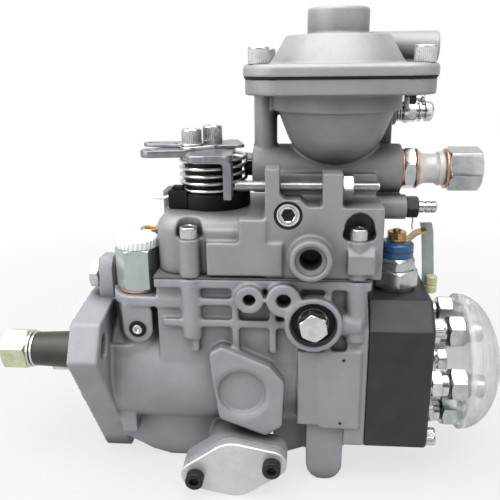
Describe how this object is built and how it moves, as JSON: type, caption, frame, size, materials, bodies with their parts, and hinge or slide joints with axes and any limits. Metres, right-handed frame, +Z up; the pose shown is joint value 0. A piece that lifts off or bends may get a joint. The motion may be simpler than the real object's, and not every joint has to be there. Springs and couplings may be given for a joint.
{
  "type": "diesel injection pump",
  "caption": "Rotary diesel injection pump with slotted mounting flange, governor cover, control lever, boost compensator, shut-off solenoid and capped outlets.",
  "frame": {"origin": "centre of the mounting flange's face, on the drive shaft's axis", "axes": "+X from the drive end along the shaft to the distributor head, +Z up through the boost compensator, -Y towards the side with the blank boss and name-plate pad"},
  "size_m": [0.3095, 0.122, 0.2665],
  "materials": {
    "housing_casting": "sand-cast, lightly blasted",
    "cover_casting": "die-cast, satin",
    "lid_casting": "die-cast, satin",
    "black_head": "blackened steel, satin",
    "zinc_plate": "bluish zinc plate",
    "yellow_zinc": "yellow-green zinc plate",
    "black_screws": "black oxide, satin",
    "bright_screws": "zinc plate, satin",
    "phosphated_steel": "olive phosphate, satin",
    "ground_steel": "ground",
    "sintered_iron": "sintered, matt",
    "spring_steel": "drawn wire",
    "copper": "soft copper, satin",
    "bronze": "bearing bronze",
    "seal_rubber": "moulded, matt",
    "white_plastic": "translucent polyethylene",
    "blue_plastic": "moulded",
    "black_plastic": "moulded",
    "timing_plate": "bright machined"
  },
  "bodies": {
    "pump": {"pump_housing": "housing_casting", "governor_cover": "cover_casting", "boost_lid": "lid_casting", "drive_bush": "bronze", "rubber_seals": "seal_rubber", "feed_pump_ring": "ground_steel", "feed_pump_plate": "sintered_iron", "governor_shaft": "ground_steel", "governor_spring": "spring_steel", "timing_spring": "spring_steel", "timing_covers": "timing_plate", "timing_cover_screws": "black_screws", "return_springs": "spring_steel", "distributor_head": "black_head", "distributor_barrel": "ground_steel", "head_screws": "bright_screws", "delivery_holders": "zinc_plate", "protective_caps": "white_plastic", "cover_screws": "bright_screws", "boost_diaphragm": "seal_rubber", "boost_spring": "spring_steel", "spring_cup": "black_plastic", "lever_springs": "spring_steel", "adjusting_screws": "zinc_plate", "inlet_union": "zinc_plate", "pressure_valve": "zinc_plate", "blanking_plugs": "bright_screws", "sealing_washers": "copper", "return_union": "zinc_plate", "solenoid_body": "zinc_plate", "solenoid_terminal": "blue_plastic"},
    "drive": {"drive_shaft": "phosphated_steel", "drive_nut": "yellow_zinc", "spring_washer": "yellow_zinc", "woodruff_key": "ground_steel", "feed_pump_rotor": "sintered_iron", "feed_pump_vanes": "ground_steel", "drive_gear": "sintered_iron"},
    "carrier": {"flyweight_carrier": "sintered_iron"},
    "weight_1": {"flyweight_1": "sintered_iron"},
    "weight_2": {"flyweight_2": "sintered_iron"},
    "weight_3": {"flyweight_3": "sintered_iron"},
    "weight_4": {"flyweight_4": "sintered_iron"},
    "sleeve": {"governor_sleeve": "ground_steel"},
    "lever": {"governor_lever": "ground_steel"},
    "spool": {"control_spool": "ground_steel"},
    "advance_ring": {"roller_ring": "sintered_iron", "rollers": "ground_steel", "timing_pin": "ground_steel"},
    "piston": {"timing_piston": "timing_plate"},
    "plunger": {"cam_plate": "ground_steel", "distributor_plunger": "ground_steel"},
    "seat": {"plunger_spring_seat": "ground_steel"},
    "valves": {"delivery_valves": "ground_steel"},
    "control": {"control_shaft": "ground_steel", "control_lever": "zinc_plate", "lever_screws": "zinc_plate"},
    "stop": {"stop_lever": "bright_screws"},
    "boost": {"boost_pin": "ground_steel"},
    "solenoid_core": {"solenoid_plunger": "ground_steel"}
  },
  "joints": [
    {"name": "drive_spin", "type": "hinge", "parent": "pump", "child": "drive", "pos_m": [0, 0, 0], "axis": [1, 0, 0], "continuous": true},
    {"name": "carrier_spin", "type": "hinge", "parent": "pump", "child": "carrier", "pos_m": [0.056, 0, 0.048], "axis": [1, 0, 0], "continuous": true},
    {"name": "weight_1_swing", "type": "hinge", "parent": "carrier", "child": "weight_1", "pos_m": [0.066, 0, 0.0605], "axis": [0, -1, 0], "range_deg": [0, 20]},
    {"name": "weight_2_swing", "type": "hinge", "parent": "carrier", "child": "weight_2", "pos_m": [0.066, -0.0125, 0.048], "axis": [0, 0, -1], "range_deg": [0, 20]},
    {"name": "weight_3_swing", "type": "hinge", "parent": "carrier", "child": "weight_3", "pos_m": [0.066, 0, 0.0355], "axis": [0, 1, 0], "range_deg": [0, 20]},
    {"name": "weight_4_swing", "type": "hinge", "parent": "carrier", "child": "weight_4", "pos_m": [0.066, 0.0125, 0.048], "axis": [0, 0, 1], "range_deg": [0, 20]},
    {"name": "sleeve_slide", "type": "slide", "parent": "pump", "child": "sleeve", "axis": [1, 0, 0], "range_m": [0, 0.002]},
    {"name": "governor_lever_swing", "type": "hinge", "parent": "pump", "child": "lever", "pos_m": [0.128, 0, 0.03], "axis": [0, 1, 0], "range_deg": [0, 6.3], "deforming": ["governor_spring"]},
    {"name": "spool_slide", "type": "slide", "parent": "pump", "child": "spool", "axis": [1, 0, 0], "range_m": [-0.002, 0]},
    {"name": "advance_turn", "type": "hinge", "parent": "pump", "child": "advance_ring", "pos_m": [0.09, 0, 0], "axis": [1, 0, 0], "range_deg": [0, 12]},
    {"name": "piston_slide", "type": "slide", "parent": "pump", "child": "piston", "axis": [0, 1, 0], "range_m": [0, 0.0095], "stiffness_N_per_m": 300, "deforming": ["timing_spring"]},
    {"name": "plunger_stroke", "type": "slide", "parent": "drive", "child": "plunger", "axis": [1, 0, 0], "range_m": [-0.001, 0]},
    {"name": "seat_stroke", "type": "slide", "parent": "pump", "child": "seat", "axis": [1, 0, 0], "range_m": [-0.001, 0], "deforming": ["return_springs"]},
    {"name": "valve_lift", "type": "slide", "parent": "pump", "child": "valves", "axis": [1, 0, 0], "range_m": [0, 0.0015], "stiffness_N_per_m": 2000, "deforming": ["return_springs"]},
    {"name": "control_turn", "type": "hinge", "parent": "pump", "child": "control", "pos_m": [0.075, 0, 0.129], "axis": [0, 0, 1], "range_deg": [-50, 0], "stiffness_Nm_per_rad": 0.4, "deforming": ["lever_springs", "governor_spring"]},
    {"name": "stop_swing", "type": "hinge", "parent": "pump", "child": "stop", "pos_m": [0.186, 0.037, 0.147], "axis": [1, 0, 0], "range_deg": [0, 35], "stiffness_Nm_per_rad": 0.05, "deforming": ["lever_springs"]},
    {"name": "boost_slide", "type": "slide", "parent": "pump", "child": "boost", "axis": [0, 0, 1], "range_m": [-0.006, 0], "stiffness_N_per_m": 3000, "springref_m": 0.004, "deforming": ["boost_diaphragm", "boost_spring"]},
    {"name": "solenoid_slide", "type": "slide", "parent": "pump", "child": "solenoid_core", "axis": [0, 0, 1], "range_m": [0, 0.002], "stiffness_N_per_m": 200, "springref_m": -0.002}
  ],
  "couplings": [
    {"joint": "carrier_spin", "follows": "drive_spin", "ratio": -1.4615},
    {"joint": "weight_2_swing", "follows": "weight_1_swing", "ratio": 1},
    {"joint": "weight_3_swing", "follows": "weight_1_swing", "ratio": 1},
    {"joint": "weight_4_swing", "follows": "weight_1_swing", "ratio": 1},
    {"joint": "sleeve_slide", "follows": "weight_1_swing", "m_per_rad": 0.005586},
    {"joint": "governor_lever_swing", "follows": "weight_1_swing", "ratio": 0.31},
    {"joint": "spool_slide", "follows": "weight_1_swing", "m_per_rad": -0.0056},
    {"joint": "piston_slide", "follows": "advance_turn", "m_per_rad": 0.04517},
    {"joint": "seat_stroke", "follows": "plunger_stroke", "ratio": 1}
  ]
}
